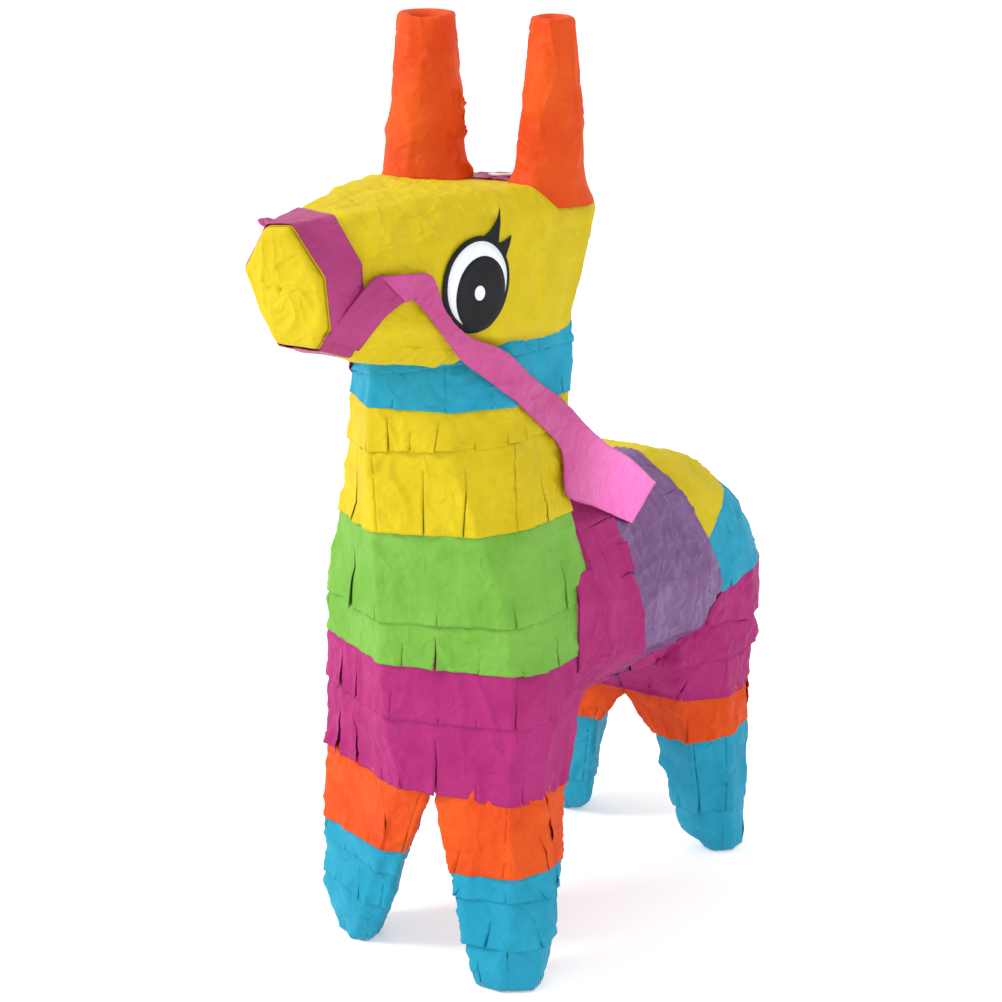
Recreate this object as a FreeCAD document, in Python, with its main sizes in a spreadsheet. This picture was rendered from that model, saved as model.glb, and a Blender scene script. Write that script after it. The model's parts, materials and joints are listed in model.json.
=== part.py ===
import FreeCAD, Part
import os
import Sketcher
from FreeCAD import Placement, Rotation, Vector

# Donkey pinata: a folded cardboard core, covered with fringed tissue paper strips.
# Everything is drawn in a bench frame: millimetres, +Z up, the animal facing -Y, +X its
# left, the origin on the floor midway between the front feet.  Each finished piece then
# gets a Placement that puts the origin under the middle of the whole animal.

# ---------------------------------------------------------------- driving dimensions
SIZES = {
    "centre_across": -2.55,     # middle of the whole animal in the bench frame
    "centre_along": 32.15,
    "tissue_thick": 0.5,        # pasted tissue, two or three plies
    "card_thick": 1.0,
    "ribbon_thick": 0.4,
    "sticker_thick": 0.25,
    "reach": 400.0,             # edge of the blocks that cut the strips apart
    # levels of the neck and chest tube
    "chest_floor": 40.0, "chest_low": 52.0, "chest_mid": 66.0, "chest_high": 82.0,
    "neck_root": 94.0, "neck_mid": 108.0, "neck_top": 131.0,
    # stations of the head, from its back to the muzzle
    "head_back": 29.5, "head_mid": 12.0, "eye_back": -1.5, "eye_front": -18.0,
    "nose_bridge": -30.0, "muzzle_end": -41.2,
    "back_lean": 0.35, "face_lean": -0.13,
    # stations of the trunk barrel
    "trunk_front": 18.0, "trunk_waist": 42.0, "trunk_loin": 68.0, "rump_start": 85.0,
    "rump_turn": 96.0, "rump_end": 105.5,
    # levels of the hip skirt and the legs
    "hip_top": 64.0, "hip_mid": 51.0, "hip_floor": 41.0, "rear_crotch": 37.0,
    "rear_knee": 28.0, "rear_shin": 17.0, "front_knee": 22.0, "front_shin": 10.0,
    "ankle": 4.5, "sole": 0.0,
    # ears
    "ear_root": 156.0, "ear_tip": 190.0,
    "ear_tip_wide": 5.5, "ear_tip_slim": 3.9,
    "ear_root_long_wide": 10.5, "ear_root_short_wide": 7.5,
    "ear_root_long_slim": 8.8, "ear_root_short_slim": 6.5,
    # crown trim and the hanging hole
    "crown_level": 159.7, "strip_length": 13.0, "strip_width": 8.5, "strip_across": -5.0,
    "strip_along": 17.5, "hang_hole": 1.5, "patch_radius": 2.8, "hole_across": 1.5,
    "hole_along": 21.5, "crown_bite": 10.0, "crown_reach": 40.0,
    # eye sticker
    "eye_half_tall": 8.8, "eye_half_wide": 8.2, "eye_across": 17.25, "eye_along": -9.3,
    "eye_level": 144.2, "eye_turn": 10.6,
    # muzzle band
    "band_rear": -31.5, "band_slant": 0.2,
    # fill flap in the right flank, hinged along its top edge
    "flap_front": 46.0, "flap_rear": 66.0, "flap_low": 60.0, "flap_high": 84.0,
    "flap_gap": 0.4, "hinge_gap": 0.7, "flap_inboard": 10.0,
}

doc = FreeCAD.newDocument("donkey_pinata")
sheet = doc.addObject("Spreadsheet::Sheet", "sizes")
for row, (alias, value) in enumerate(SIZES.items(), start=1):
    sheet.set(f"A{row}", alias)
    sheet.set(f"B{row}", str(value))
    sheet.setAlias(f"B{row}", alias)
doc.recompute()


def size(alias):
    return float(sheet.get(alias))


def bind(thing, **expressions):
    """Bind properties of a document object to cells of the sheet."""
    for prop, expression in expressions.items():
        thing.setExpression(prop.replace("__", "."), expression)
    return thing


# ---------------------------------------------------------------- building blocks
UPRIGHT = Rotation(Vector(1, 0, 0), 90)     # lays a sketch's page in the X-Z plane
PLAN, FRONTAL = "z", "y"                    # the axis along which the sections stack


def outline(name, points, axis, level):
    """A closed polygon sketch at a level of the sheet, its corners kept coincident."""
    sketch = doc.addObject("Sketcher::SketchObject", name)
    corners = [Vector(*point, 0) for point in points]
    following = corners[1:] + corners[:1]
    for start, end in zip(corners, following):
        sketch.addGeometry(Part.LineSegment(start, end), False)
    for i in range(len(corners)):
        sketch.addConstraint(Sketcher.Constraint("Coincident", i, 2, (i + 1) % len(corners), 1))
    if axis == FRONTAL:
        sketch.Placement = Placement(Vector(), UPRIGHT)
    sketch.setExpression(f"Placement.Base.{axis}", f"sizes.{level}")
    return sketch


def loft(name, sections):
    solid = doc.addObject("Part::Loft", name)
    solid.Sections = sections
    solid.Solid = True
    solid.Ruled = True
    return solid


def inset_loft(name, sections, depth):
    """A loft through the same sections, each drawn in by an expression's depth."""
    rings = []
    for section in sections:
        ring = doc.addObject("Part::Offset2D", f"{section.Name}_{name}")
        ring.Source = section
        ring.Join = 2
        ring.setExpression("Value", f"-({depth})")
        rings.append(ring)
    return loft(name, rings)


def cut(name, base, *tools):
    """Base less each tool in turn."""
    for i, tool in enumerate(tools):
        piece = doc.addObject("Part::Cut", name if i == len(tools) - 1 else f"{name}_less_{i}")
        piece.Base, piece.Tool = base, tool
        base = piece
    return base


def common(name, *shapes):
    piece = doc.addObject("Part::MultiCommon", name)
    piece.Shapes = list(shapes)
    return piece


def half_space(name, point, normal):
    """A large block that fills the side of a plane that its normal points away from."""
    block = doc.addObject("Part::Box", name)
    bind(block, Length="sizes.reach", Width="sizes.reach", Height="sizes.reach")
    turn = Rotation(Vector(0, 0, 1), Vector(*normal))
    half = size("reach") / 2
    corner = Vector(*point) + turn.multVec(Vector(-half, -half, -2 * half))
    block.Placement = Placement(corner, turn)
    return block


def slab(name, axis, low, high):
    """A block across the whole animal between two levels, given as expressions."""
    block = doc.addObject("Part::Box", name)
    edges = {"x": "Length", "y": "Width", "z": "Height"}
    for direction, edge in edges.items():
        if direction == axis:
            block.setExpression(edge, f"({high}) - ({low})")
            block.setExpression(f"Placement.Base.{direction}", low)
        else:
            block.setExpression(edge, "sizes.reach")
            block.setExpression(f"Placement.Base.{direction}", "-sizes.reach / 2")
    return block


nodes = {}


def node(name, thing):
    """Name a finished piece and set it in the shared frame."""
    thing.Label = name
    middle = Vector(size("centre_across"), size("centre_along"), 0)
    thing.Placement = Placement(-middle, Rotation())
    nodes[name] = thing
    return thing


def mirrored(points, rise=0.0):
    """A closed ring from a half drawn on +X; rise lifts the far end of the other half."""
    other = [(-across, up) for across, up in reversed(points)]
    last_across, last_up = other[-1]
    return points + other[:-1] + [(last_across, last_up + rise)]


class Limb:
    """One stack of sections: the tissue surface, the card inside it and the hollow."""

    def __init__(self, name, axis, sections):
        self.name = name
        rings = [
            outline(f"{name}_{level}", points, axis, level) for level, points in sections.items()
        ]
        self.outer = loft(f"{name}_outer", rings)
        self.card = inset_loft(f"{name}_core", rings, "sizes.tissue_thick")
        self.hollow = inset_loft(f"{name}_hollow", rings, "sizes.tissue_thick + sizes.card_thick")

    def trim(self, axis, low, high):
        """Close the ends: the card stops short of the tissue, the hollow of the card.

        low and high are expressions for the outer ends; an end given as None stays open."""
        for step, kept in (("sizes.tissue_thick", "card"),
                           ("(sizes.tissue_thick + sizes.card_thick)", "hollow")):
            start = "-sizes.reach / 2" if low is None else f"{low} + {step}"
            stop = "sizes.reach / 2" if high is None else f"{high} - {step}"
            block = slab(f"{self.name}_{kept}_room", axis, start, stop)
            setattr(self, kept, common(f"{self.name}_{kept}_trimmed", getattr(self, kept), block))


def strips(shell, names, planes):
    """Cut a skin into strips.  planes holds one (point, normal) between each two names."""
    blocks = [
        half_space(f"{shell.Name}_cut_{i}", point, normal)
        for i, (point, normal) in enumerate(planes)
    ]
    pieces = []
    for i, name in enumerate(names):
        piece = shell
        if i > 0:
            piece = common(f"{name}_below", piece, blocks[i - 1])
        if i < len(blocks):
            piece = cut(f"{name}_strip", piece, blocks[i])
        pieces.append(piece)
    return pieces


def tilted(level, rise_left=0.0, rise_back=0.0):
    """A nearly level plane: its height on the middle line and its two slopes."""
    return (0, 0, level), (-rise_left, -rise_back, 1)


# ---------------------------------------------------------------- neck and chest tube
# Seven creases, from the front right crease round by the animal's left to its right
# flank.  The tube was folded by hand, so its front face is not square to the body.
neck = Limb("neck", PLAN, {
    "chest_floor": [(-5, -6), (19, 0), (22, 6), (20.5, 17), (0, 24), (-25, 22), (-30.4, 2)],
    "chest_low": [(-6, -8), (20, 0), (23, 7), (21.5, 19.5), (0, 27), (-26, 26), (-30.4, 3)],
    "chest_mid": [(-6, -9), (20, -1), (23, 6), (22, 24), (0, 28), (-25, 26), (-30, 3)],
    "chest_high": [(-6, -10), (19, -2), (22, 6), (21.5, 23), (0, 27), (-22, 24), (-27.8, 2)],
    "neck_root": [(-6, -11), (16, -5), (20, 4), (19.5, 20), (0, 24), (-19, 21), (-24.2, 1)],
    "neck_mid": [(-6, -12), (12, -8), (18, 2), (17, 21.5), (0, 24), (-17, 21), (-20.6, 0)],
    "neck_top": [(-5, -12), (10, -8), (17, 2), (17.8, 22), (0, 24), (-15, 21), (-18.5, 0)],
})
neck_room = slab("neck_hollow_room", "z", "sizes.chest_floor + sizes.card_thick",
                 "sizes.neck_top + sizes.card_thick")
neck.hollow = common("neck_hollow_floored", neck.hollow, neck_room)
node("neck_card", cut("neck_shell", neck.card, neck.hollow))

neck_skin = cut("neck_skin", neck.outer, neck.card)
neck_names = [
    "neck_strip_turquoise_upper", "neck_strip_turquoise_lower", "neck_strip_yellow_upper",
    "neck_strip_yellow_lower", "chest_strip_green_upper", "chest_strip_green_lower",
    "chest_strip_magenta_upper", "chest_strip_magenta_lower",
]
neck_edges = [
    tilted(126.3, 0.18), tilted(119.2, 0.02), tilted(111.1, 0.09), tilted(94.5, 0.05),
    tilted(75.9, 0.04, 0.02), tilted(66.5, 0.01, -0.03), tilted(55.4, 0.0, 0.05),
]
for name, piece in zip(neck_names, strips(neck_skin, neck_names, neck_edges)):
    node(name, piece)

# ---------------------------------------------------------------- head
# Corners in order: left crown edge, cheek top, cheek bottom and jaw edge, then the same
# four up the right side.  The crown is a little higher on the right.
head = Limb("head", FRONTAL, {
    "head_back": mirrored([(14.5, 159.7), (19, 155.5), (18, 133), (14, 131)]),
    "head_mid": mirrored([(16, 159.7), (19.2, 156), (18.8, 133), (14, 129)]),
    "eye_back": mirrored([(13.5, 160.2), (18.7, 155), (18.7, 134), (12, 128)], 0.9),
    "eye_front": mirrored([(8.5, 159.2), (15.6, 153), (15.6, 137), (8.5, 130)], 1.0),
    "nose_bridge": mirrored([(5.5, 157.8), (12, 151), (11.4, 139), (6.5, 133)], 0.6),
    "muzzle_end": [(1.8, 156.8), (7.4, 148), (7, 139.5), (4.2, 136.4),
                   (-3.2, 136.4), (-6.4, 142), (-9.3, 148.4), (-3.6, 156.4)],
})


def head_ends(depth):
    """The room between the sloping back of the head and the leaning muzzle face."""
    back = half_space("head_back_plane", (0, 27.7 - depth, 155.2), (0, 1, -size("back_lean")))
    face = half_space("muzzle_face_plane", (0, size("muzzle_end") + depth, 157),
                      (0, -1, size("face_lean")))
    return back, face


head_rings = head.outer.Sections
head_sleeve = head.outer        # runs on past the back of the head
bare, pasted = 0.0, size("tissue_thick")
lined = pasted + size("card_thick")
head.outer = common("head_form", head.outer, *head_ends(bare))
head.card = common("head_card_form", head.card, *head_ends(pasted))
lined_back, lined_face = head_ends(lined)
mouth = common("muzzle_mouth", head.hollow, lined_back, head_ends(pasted)[1])
hanging_hole = doc.addObject("Part::Cylinder", "hanging_hole")
bind(hanging_hole, Radius="sizes.hang_hole", Height="sizes.crown_reach",
     Placement__Base__x="sizes.hole_across", Placement__Base__y="sizes.hole_along",
     Placement__Base__z="sizes.crown_level - sizes.crown_bite")
node("head_card", cut("head_shell", head.card, mouth, neck.outer, hanging_hole))
node("muzzle_end_card", cut("muzzle_disc", mouth, lined_face))

head_skin = cut("head_skin", head.outer, head.card, neck.outer, hanging_hole)
muzzle_split = half_space("muzzle_split", (0, -37.5, 146), (0, 1, 0))
node("head_tissue", cut("head_wrap", head_skin, muzzle_split))
node("muzzle_tissue", common("muzzle_wrap", head_skin, muzzle_split))

# ---------------------------------------------------------------- trunk barrel
# Half outlines, back to belly: back edge, shoulder, flank, lower flank, belly edge.
trunk = Limb("trunk", FRONTAL, {
    "trunk_front": mirrored([(10, 100), (19, 92.5), (23, 77), (23, 63), (14, 52)]),
    "trunk_waist": mirrored([(10, 99), (19, 88.5), (24, 72), (23, 61.5), (13, 52)]),
    "trunk_loin": mirrored([(9, 97.5), (20, 89), (25, 73), (24.5, 60), (13, 50)]),
    "rump_start": mirrored([(8, 92.5), (18.5, 86), (25.3, 72), (25.3, 58), (13, 49)]),
    "rump_turn": mirrored([(6, 86.5), (16, 79.5), (21.4, 68), (21.4, 56), (12, 48.5)]),
    "rump_end": mirrored([(4, 78.5), (9.5, 74), (14, 66), (13, 57), (8, 52)]),
})
trunk.trim("y", None, "sizes.rump_end")

# ---------------------------------------------------------------- hip skirt
hips = Limb("hips", PLAN, {
    "hip_floor": mirrored([(9, 68), (18, 68.5), (25, 77), (23.5, 88), (18, 94.5), (7, 98)]),
    "hip_mid": mirrored([(9, 62), (20, 64), (25, 75), (24.4, 89), (18.5, 97), (7, 102)]),
    "hip_top": mirrored([(9, 60), (20, 62), (23, 74), (23.5, 89), (17, 97), (7, 101)]),
})
hip_room = slab("hip_hollow_room", "z", "sizes.hip_floor + sizes.card_thick",
                "sizes.hip_top + sizes.card_thick")
hips.hollow = common("hips_hollow_floored", hips.hollow, hip_room)
node("hip_card", cut("hip_shell", hips.card, hips.hollow, trunk.outer))


# ---------------------------------------------------------------- fill flap
def window(name, grow, top_grow):
    """The flap's outline as a block through the right flank only."""
    block = doc.addObject("Part::Box", name)
    bind(block, Length="sizes.reach",
         Width=f"sizes.flap_rear - sizes.flap_front + 2 * ({grow})",
         Height=f"sizes.flap_high - sizes.flap_low + ({grow}) + ({top_grow})",
         Placement__Base__x="-sizes.reach - sizes.flap_inboard",
         Placement__Base__y=f"sizes.flap_front - ({grow})",
         Placement__Base__z=f"sizes.flap_low - ({grow})")
    return block


flap_opening = window("flap_opening", "sizes.flap_gap", "sizes.hinge_gap")
flap_blank = window("flap_blank", "0", "0")

trunk_shell = cut("trunk_shell", trunk.card, trunk.hollow, neck.outer)
node("trunk_card", cut("trunk_shell_open", trunk_shell, flap_opening))
node("flap_card", common("flap_board", trunk_shell, flap_blank))

# The strips fan about a line low behind the chest.  Each plane crosses the flank at a
# point (along, up) and leans by its slope.
body_skin = cut("body_skin", trunk.outer, trunk.card, neck.outer)


def across_plane(along, up, run, rise):
    """A plane that holds the X axis direction, through a point, rising rise over run."""
    return (0, along, up), (0, -rise, run)


def behind(name, along, up, lean):
    """The space behind a plane that leans forward by lean for each unit up."""
    return half_space(name, (0, along, up), (0, -1, -lean))


behind_chest_band = behind("behind_chest_band", 28.0, 64.0, 0.24)
behind_girth_band = behind("behind_girth_band", 41.5, 66.0, 0.26)
behind_saddle = behind("behind_saddle", 71.0, 70.0, 0.36)
under_saddle = half_space("under_saddle", (0, 60, 55.5), (0, -0.02, 1))
under_yellow = half_space("under_yellow", *across_plane(70, 79.5, 1.0, 0.52))
under_rump_upper = half_space("under_rump_upper", *across_plane(70, 75.0, 1.0, 0.30))
under_rump_lower = half_space("under_rump_lower", *across_plane(70, 65.5, 1.0, 0.20))
under_hip_upper = half_space("under_hip_upper", (0, 60, 51.5), (0, -0.02, 1))

node("trunk_strip_magenta_front", cut("girth_front", body_skin, behind_chest_band))
girth = common("girth", body_skin, behind_chest_band)
node("trunk_strip_magenta_rear", cut("girth_rear", girth, behind_girth_band))
saddle_zone = common("saddle_zone", body_skin, behind_girth_band)
saddle = cut("saddle", saddle_zone, behind_saddle, under_saddle)
node("trunk_strip_purple", cut("saddle_open", saddle, flap_opening))
node("flap_tissue", common("flap_cover", saddle, flap_blank))
rump_zone = common("rump_zone", body_skin, behind_saddle)
node("rump_strip_yellow", cut("rump_yellow", rump_zone, under_yellow))
rump_under_yellow = common("rump_under_yellow", rump_zone, under_yellow)
node("rump_strip_turquoise_upper",
     cut("rump_turquoise_upper", rump_under_yellow, under_rump_upper))
rump_low = common("rump_low", rump_zone, under_rump_upper)
node("rump_strip_turquoise_lower", cut("rump_turquoise_lower", rump_low, under_rump_lower))

hip_skin = cut("hip_skin", hips.outer, hips.card, trunk.outer)
belly_left_over = common("belly_left_over", saddle_zone, under_saddle)
belly_part = cut("belly_part", belly_left_over, behind_saddle)
rump_part = common("rump_part", rump_zone, under_rump_lower)
hip_pieces = doc.addObject("Part::MultiFuse", "hip_pieces")
hip_pieces.Shapes = [belly_part, rump_part, hip_skin]
node("hip_strip_magenta_upper", cut("hip_magenta_upper", hip_pieces, under_hip_upper))
node("hip_strip_magenta_lower", common("hip_magenta_lower", hip_pieces, under_hip_upper))


# ---------------------------------------------------------------- legs
def leg(name, sections, names, edges):
    """A hollow card cone with a closed sole, and the strips that cover it."""
    limb = Limb(name, PLAN, sections)
    limb.trim("z", "sizes.sole", None)
    node(f"leg_card_{name}", cut(f"{name}_shell", limb.card, limb.hollow))
    skin = cut(f"{name}_skin", limb.outer, limb.card)
    labels = [f"leg_{part}_{name}" for part in names]
    for label, piece in zip(labels, strips(skin, labels, edges)):
        node(label, piece)


FRONT_PARTS = ["orange", "turquoise_upper", "turquoise_middle", "turquoise_foot"]
REAR_PARTS = ["orange", "turquoise", "turquoise_foot"]

leg("front_left", {
    "sole": [(13, -3.4), (19, -3.6), (23.8, 0.3), (22.5, 5.8), (14.5, 5)],
    "ankle": [(12, -4.3), (20, -4), (24.8, 1.5), (23.2, 7.4), (13, 6.5)],
    "front_shin": [(10.2, -4.2), (20.3, -2.8), (24.8, 3), (23.4, 8.6), (13, 8)],
    "front_knee": [(7, -3.8), (20, -0.8), (24, 5.5), (22.8, 11.6), (12, 10)],
    "chest_floor": [(2.5, -4.1), (19, 0), (22, 6), (20.5, 17), (9, 12)],
}, FRONT_PARTS, [tilted(22.0, 0.1), tilted(17.5, 0.06), tilted(8.5, 0.02)])
leg("front_right", {
    "sole": [(-17, -2.2), (-20, -3.2), (-26, 0.5), (-24, 4.5), (-18, 3.8)],
    "ankle": [(-13.8, -3), (-17.2, -4.6), (-28.3, 0), (-25.5, 6), (-16.8, 5.2)],
    "front_shin": [(-10.5, -3.4), (-15.2, -4.6), (-29.5, -0.3), (-25.5, 7.5), (-15, 6)],
    "front_knee": [(-6.8, -2.8), (-11.5, -4.2), (-30.4, 1), (-26, 12), (-12.5, 8)],
    "chest_floor": [(2.1, -4.2), (-5, -6), (-30.4, 2), (-25, 20), (-6, 10)],
}, FRONT_PARTS, [tilted(23.5, -0.02), tilted(17.0, -0.1), tilted(9.0, -0.1)])


def rear(side):
    """Sections of a rear leg; side is 1 on the animal's left and -1 on its right."""
    half = {
        "sole": [(18.5, 82), (21, 80), (24, 83), (23, 88), (21, 88.5), (19, 86.5)],
        "ankle": [(13.4, 78.3), (20, 76.8), (24.5, 82), (23.5, 88.5), (20, 89.5), (17.5, 86)],
        "rear_shin": [(10.5, 75.5), (19, 73.5), (24.8, 80), (23.8, 88.5), (19, 91), (15, 86)],
        "rear_knee": [(8, 74), (19, 71), (25, 78.5), (23.8, 88.5), (18, 92.5), (12.5, 86.5)],
        "rear_crotch": [(0.2, 73), (18, 69), (25, 77), (23.6, 88), (18, 94), (9.5, 89)],
        "hip_floor": [(0.2, 71), (18, 68.5), (25, 77), (23.5, 88), (18, 94.5), (7, 92)],
    }
    return {level: [(side * across, along) for across, along in points]
            for level, points in half.items()}


leg("rear_left", rear(1), REAR_PARTS, [tilted(22.0, 0.08, 0.08), tilted(9.0, 0.1)])
leg("rear_right", rear(-1), REAR_PARTS, [tilted(22.0, -0.08, 0.08), tilted(9.0, -0.1)])


# ---------------------------------------------------------------- ears
def ear(side, root, tip, build):
    """A rolled card cone, open at the tip, and the tissue wrapped round it."""

    def cone(name, inset):
        rings = []
        for place, (across, along), level, long, short in (
            ("root", root, "ear_root", f"sizes.ear_root_long_{build}",
             f"sizes.ear_root_short_{build}"),
            ("tip", tip, "ear_tip", f"sizes.ear_tip_{build} + 0.01", f"sizes.ear_tip_{build}"),
        ):
            ring = doc.addObject("Part::Ellipse", f"{name}_{place}")
            bind(ring, MajorRadius=f"{long} - ({inset})", MinorRadius=f"{short} - ({inset})")
            quarter = Rotation(Vector(0, 0, 1), 90)
            ring.Placement = Placement(Vector(across, along, size(level)), quarter)
            rings.append(ring)
        return loft(name, rings)

    outer = cone(f"ear_{side}_outer", "0")
    card = cone(f"ear_{side}_core", "sizes.tissue_thick")
    hollow = cone(f"ear_{side}_hollow", "sizes.tissue_thick + sizes.card_thick")
    node(f"ear_card_{side}", cut(f"ear_{side}_tube", card, hollow, head_sleeve))
    node(f"ear_tissue_{side}", cut(f"ear_{side}_wrap", outer, card, head_sleeve))
    return outer


ear_left = ear("left", (13.8, 20.2), (14.3, 20.0), "slim")
ear_right = ear("right", (-12.6, 14.6), (-13.6, 17.5), "wide")

# ---------------------------------------------------------------- crown trim
def on_crown(name, under, over, footprint):
    """A layer of ribbon that follows the crown, cut to a footprint."""
    layer = common(f"{name}_layer", over, footprint)
    return cut(f"{name}_piece", layer, under, ear_left, ear_right, hanging_hole)


first_layer = inset_loft("first_layer", head_rings, "-sizes.ribbon_thick")
second_layer = inset_loft("second_layer", head_rings, "-2 * sizes.ribbon_thick")

strip_footprint = doc.addObject("Part::Box", "strip_footprint")
bind(strip_footprint, Length="sizes.strip_length", Width="sizes.strip_width",
     Height="sizes.crown_reach", Placement__Base__x="sizes.strip_across",
     Placement__Base__y="sizes.strip_along",
     Placement__Base__z="sizes.crown_level - sizes.crown_bite")
node("crown_strip", on_crown("strip", head_sleeve, first_layer, strip_footprint))
patch_footprint = doc.addObject("Part::Cylinder", "patch_footprint")
bind(patch_footprint, Radius="sizes.patch_radius", Height="sizes.crown_reach",
     Placement__Base__x="sizes.hole_across", Placement__Base__y="sizes.hole_along",
     Placement__Base__z="sizes.crown_level - sizes.crown_bite")
node("hanger_patch", on_crown("patch", first_layer, second_layer, patch_footprint))


# ---------------------------------------------------------------- eye stickers
def eye(side, sign):
    """An oval paper disc lying on the cheek, which narrows towards the muzzle."""
    oval = doc.addObject("Part::Ellipse", f"eye_oval_{side}")
    bind(oval, MajorRadius="sizes.eye_half_tall", MinorRadius="sizes.eye_half_wide")
    stand_up = Rotation(Vector(0, 1, 0), 90 * sign)
    turn = Rotation(Vector(0, 0, 1), -sign * size("eye_turn"))
    centre = Vector(sign * size("eye_across"), size("eye_along"), size("eye_level"))
    oval.Placement = Placement(centre, turn.multiply(stand_up))
    disc = doc.addObject("Part::Extrusion", f"eye_disc_{side}")
    disc.Base = oval
    disc.DirMode = "Custom"
    disc.Dir = oval.Placement.Rotation.multVec(Vector(0, 0, 1))
    disc.Solid = True
    disc.setExpression("LengthFwd", "sizes.sticker_thick")
    node(f"eye_sticker_{side}", cut(f"eye_clear_{side}", disc, head.outer))


eye("left", 1)
eye("right", -1)

# ---------------------------------------------------------------- bridle
band_rear = half_space("band_rear_plane", (0, size("band_rear"), 147), (size("band_slant"), 1, 0))
band_face = head_ends(size("ribbon_thick"))[1]
band_blank = common("band_blank", first_layer, band_rear, band_face)
node("muzzle_band", cut("band", band_blank, head_sleeve))


def ribbon(stations, thick):
    """A flat ribbon through pairs of edge points, its thickness added outward."""
    sections = []
    for upper, lower, outward in stations:
        shift = Vector(*outward).normalize() * thick
        corners = [Vector(*upper), Vector(*lower), Vector(*lower) + shift, Vector(*upper) + shift]
        sections.append(Part.makePolygon(corners + corners[:1]))
    return Part.makeLoft(sections, True, True)


# Left rein: each station is the upper edge, the lower edge and the outward direction.
# It comes out from under the muzzle band, is folded over on the cheek, and then falls
# back across the neck to lie on the shoulder.
CHEEK_RUN = [
    ((7.1, -40, 137.2), (8.5, -32, 134.6), (0.78, -0.3, -0.55)),
    ((12.1, -33, 147), (12.8, -29.8, 140.6), (0.96, -0.27, -0.05)),
    ((13, -30.2, 148.3), (14.4, -24.9, 143.5), (0.95, -0.3, -0.03)),
]
STRAP_RUN = [
    ((13.4, -30.2, 148.5), (14.8, -24.9, 143.7), (0.95, -0.3, 0)),
    ((14.9, -25.4, 147.9), (14.9, -24.5, 143.2), (0.95, -0.3, 0)),
    ((16.2, -20.6, 146.9), (15.1, -24.1, 142.6), (0.95, -0.3, 0)),
    ((16.9, -17.5, 140.3), (15.5, -22.6, 141.4), (0.97, -0.2, 0)),
    ((17.8, -12, 135.3), (16.4, -16.5, 134.7), (0.96, -0.3, 0)),
    ((18.6, -1.6, 130.9), (15.7, -10.7, 129.9), (0.93, -0.4, 0)),
    ((18.5, 8.4, 123.9), (16.9, -2.4, 124.2), (0.97, -0.2, 0)),
    ((18.7, 17.4, 118.4), (18.7, 8.1, 116), (1, 0, 0.05)),
    ((19.7, 26.3, 110.8), (18.9, 16.8, 108.3), (1, 0, 0.1)),
    ((19, 33.7, 106.3), (20.2, 17, 99.6), (0.97, 0, 0.25)),
    ((17.6, 44, 101.4), (19.2, 29.1, 94.2), (0.85, 0, 0.5)),
    ((16.4, 57, 93), (20.2, 41.4, 88.1), (0.75, 0, 0.65)),
]


def rein(side, sign):
    runs = []
    for run in (CHEEK_RUN, STRAP_RUN):
        stations = [
            tuple((sign * point[0], point[1], point[2]) for point in station) for station in run
        ]
        runs.append(ribbon(stations, size("ribbon_thick")))
    strap = doc.addObject("Part::Feature", f"rein_runs_{side}")
    strap.Shape = runs[0].fuse(runs[1])
    node(f"rein_{side}", cut(f"rein_clear_{side}", strap, head_sleeve, neck.outer, trunk.outer,
                             band_blank))


rein("left", 1)
rein("right", -1)

# ---------------------------------------------------------------- check and write
doc.recompute()
for thing in doc.Objects:
    if {"Invalid", "Error"} & set(thing.State):
        raise RuntimeError(f"{thing.Label} failed to recompute: {thing.State}")
os.makedirs("parts", exist_ok=True)
whole = FreeCAD.BoundBox()
for name, thing in nodes.items():
    shape = thing.Shape
    if shape.isNull() or not shape.isValid() or not shape.Solids:
        raise RuntimeError(f"{name} has no valid solid")
    whole.add(shape.BoundBox)
    shape.exportStep(f"parts/{name}.step")
    print(f"{name}: {len(shape.Solids)} solid, {shape.Volume:.0f} mm3")
print(len(nodes), "nodes", whole)
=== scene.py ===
import json
import math
import random

import bmesh
import bpy
import numpy as np
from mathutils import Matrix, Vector, noise
from mathutils.bvhtree import BVHTree

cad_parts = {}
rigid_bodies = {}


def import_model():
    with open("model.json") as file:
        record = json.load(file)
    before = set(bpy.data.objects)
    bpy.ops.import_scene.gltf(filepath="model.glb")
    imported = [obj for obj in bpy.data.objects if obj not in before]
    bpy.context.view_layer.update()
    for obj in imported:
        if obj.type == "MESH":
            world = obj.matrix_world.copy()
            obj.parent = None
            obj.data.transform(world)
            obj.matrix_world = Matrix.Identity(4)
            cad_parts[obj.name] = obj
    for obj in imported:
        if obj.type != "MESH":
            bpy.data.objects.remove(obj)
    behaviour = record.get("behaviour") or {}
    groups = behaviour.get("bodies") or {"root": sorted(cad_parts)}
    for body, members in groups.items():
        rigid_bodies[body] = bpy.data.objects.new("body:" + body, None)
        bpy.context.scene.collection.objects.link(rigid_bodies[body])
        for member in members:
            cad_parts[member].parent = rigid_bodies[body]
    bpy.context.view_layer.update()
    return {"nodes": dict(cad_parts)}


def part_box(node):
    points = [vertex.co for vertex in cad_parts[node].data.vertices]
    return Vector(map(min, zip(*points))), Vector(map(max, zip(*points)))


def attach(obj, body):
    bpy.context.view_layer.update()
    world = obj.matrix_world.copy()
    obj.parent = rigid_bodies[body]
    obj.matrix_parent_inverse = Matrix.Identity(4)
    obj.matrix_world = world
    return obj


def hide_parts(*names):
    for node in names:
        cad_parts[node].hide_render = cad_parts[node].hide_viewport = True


# Looks of the donkey pinata.  Shapes are worked out in the bench frame that the design is
# drawn in: millimetres, +Z up, the animal facing -Y, +X its left, the origin on the floor
# between the front feet.  Finished meshes are moved to the shared frame in metres.
# Each paper strip is laid over the surface of the CAD limb, found by shooting rays at the
# limb's axis, and is then slit, lifted and creased.

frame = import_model()

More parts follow.
